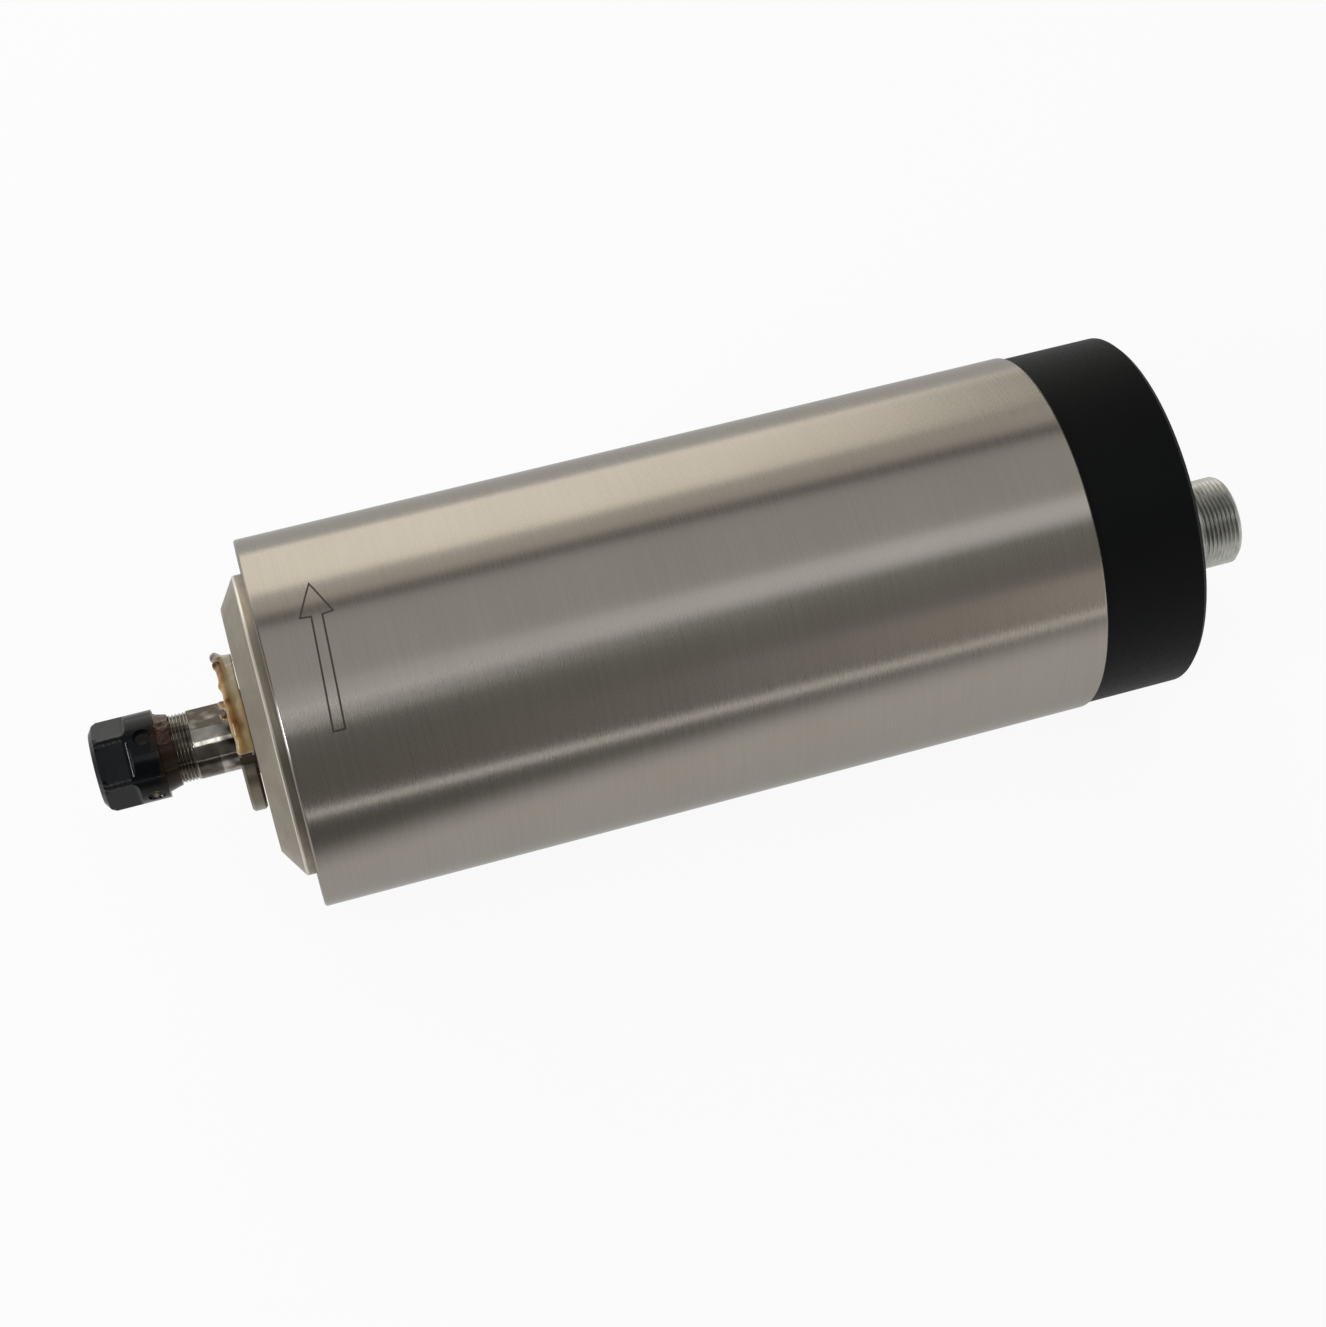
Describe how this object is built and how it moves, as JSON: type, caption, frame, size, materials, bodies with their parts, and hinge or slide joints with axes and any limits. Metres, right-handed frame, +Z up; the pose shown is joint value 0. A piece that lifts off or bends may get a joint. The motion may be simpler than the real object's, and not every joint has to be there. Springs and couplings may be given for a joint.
{
  "type": "air-cooled motor spindle",
  "caption": "Round air-cooled motor spindle: a clamping jacket over a finned motor frame, a collet nose with hexagon nut, and a rear fan cover with a threaded cable socket.",
  "frame": {"origin": "on the spindle axis, at the middle of the jacket's length", "axes": "+X along the spindle axis from the collet nose to the cable socket, +Z up with the spindle lying on its side"},
  "size_m": [0.2549, 0.08, 0.08],
  "materials": {
    "jacket_steel": "satin turned",
    "frame_aluminium": "extruded",
    "nose_steel": "fine turned matte",
    "turned_steel": "turned",
    "black_screw_steel": "black oxide",
    "bearing_steel": "ground",
    "ball_steel": "polished",
    "cage_plastic": "phenolic",
    "shaft_steel": "ground",
    "dark_ring_steel": "dark turned",
    "lamination_steel": "stacked laminations",
    "cast_aluminium": "cast",
    "fan_plastic": "moulded",
    "collet_steel": "ground",
    "black_oxide_steel": "black oxide, oiled",
    "copper_winding": "enamelled wire",
    "cover_black": "matte black",
    "connector_plating": "satin nickel plate",
    "insert_plastic": "moulded",
    "pin_brass": "plated"
  },
  "bodies": {
    "stator": {"outer_jacket": "jacket_steel", "motor_frame": "frame_aluminium", "front_housing": "nose_steel", "front_retainer": "turned_steel", "front_screws": "black_screw_steel", "front_bearing_outer_rings": "bearing_steel", "rear_bearing_outer_rings": "bearing_steel", "stator_core": "lamination_steel", "stator_winding": "copper_winding", "rear_housing": "cast_aluminium", "housing_screws": "black_screw_steel", "preload_spring": "bearing_steel", "rear_cover": "cover_black", "cover_screws": "black_screw_steel", "connector_shell": "connector_plating", "connector_insert": "insert_plastic", "connector_pins": "pin_brass", "connector_nut": "connector_plating"},
    "rotor": {"shaft": "shaft_steel", "dust_ring": "dark_ring_steel", "front_sleeve": "turned_steel", "rotor_core": "lamination_steel", "rotor_end_rings": "cast_aluminium", "rear_lock_nut": "dark_ring_steel", "fan": "fan_plastic", "fan_washer": "turned_steel", "fan_screw": "black_screw_steel", "front_bearing_inner_rings": "bearing_steel", "rear_bearing_inner_rings": "bearing_steel"},
    "front_balls": {"front_bearing_balls": "ball_steel", "front_bearing_cages": "cage_plastic"},
    "rear_balls": {"rear_bearing_balls": "ball_steel", "rear_bearing_cages": "cage_plastic"},
    "collet_slide": {"collet": "collet_steel"},
    "nut": {"collet_nut": "black_oxide_steel"}
  },
  "joints": [
    {"name": "spindle_spin", "type": "hinge", "parent": "stator", "child": "rotor", "pos_m": [0, 0, 0], "axis": [-1, 0, 0], "continuous": true},
    {"name": "front_balls_orbit", "type": "hinge", "parent": "stator", "child": "front_balls", "pos_m": [0, 0, 0], "axis": [-1, 0, 0], "continuous": true},
    {"name": "rear_balls_orbit", "type": "hinge", "parent": "stator", "child": "rear_balls", "pos_m": [0, 0, 0], "axis": [-1, 0, 0], "continuous": true},
    {"name": "collet_draw", "type": "slide", "parent": "rotor", "child": "collet_slide", "axis": [-1, 0, 0], "range_m": [0, 0.0075]},
    {"name": "nut_turn", "type": "hinge", "parent": "collet_slide", "child": "nut", "pos_m": [0, 0, 0], "axis": [-1, 0, 0], "range_deg": [0, 3600]}
  ],
  "couplings": [
    {"joint": "front_balls_orbit", "follows": "spindle_spin", "ratio": 0.4022},
    {"joint": "rear_balls_orbit", "follows": "spindle_spin", "ratio": 0.4022},
    {"joint": "collet_draw", "follows": "nut_turn", "m_per_rad": 0.00011937}
  ]
}
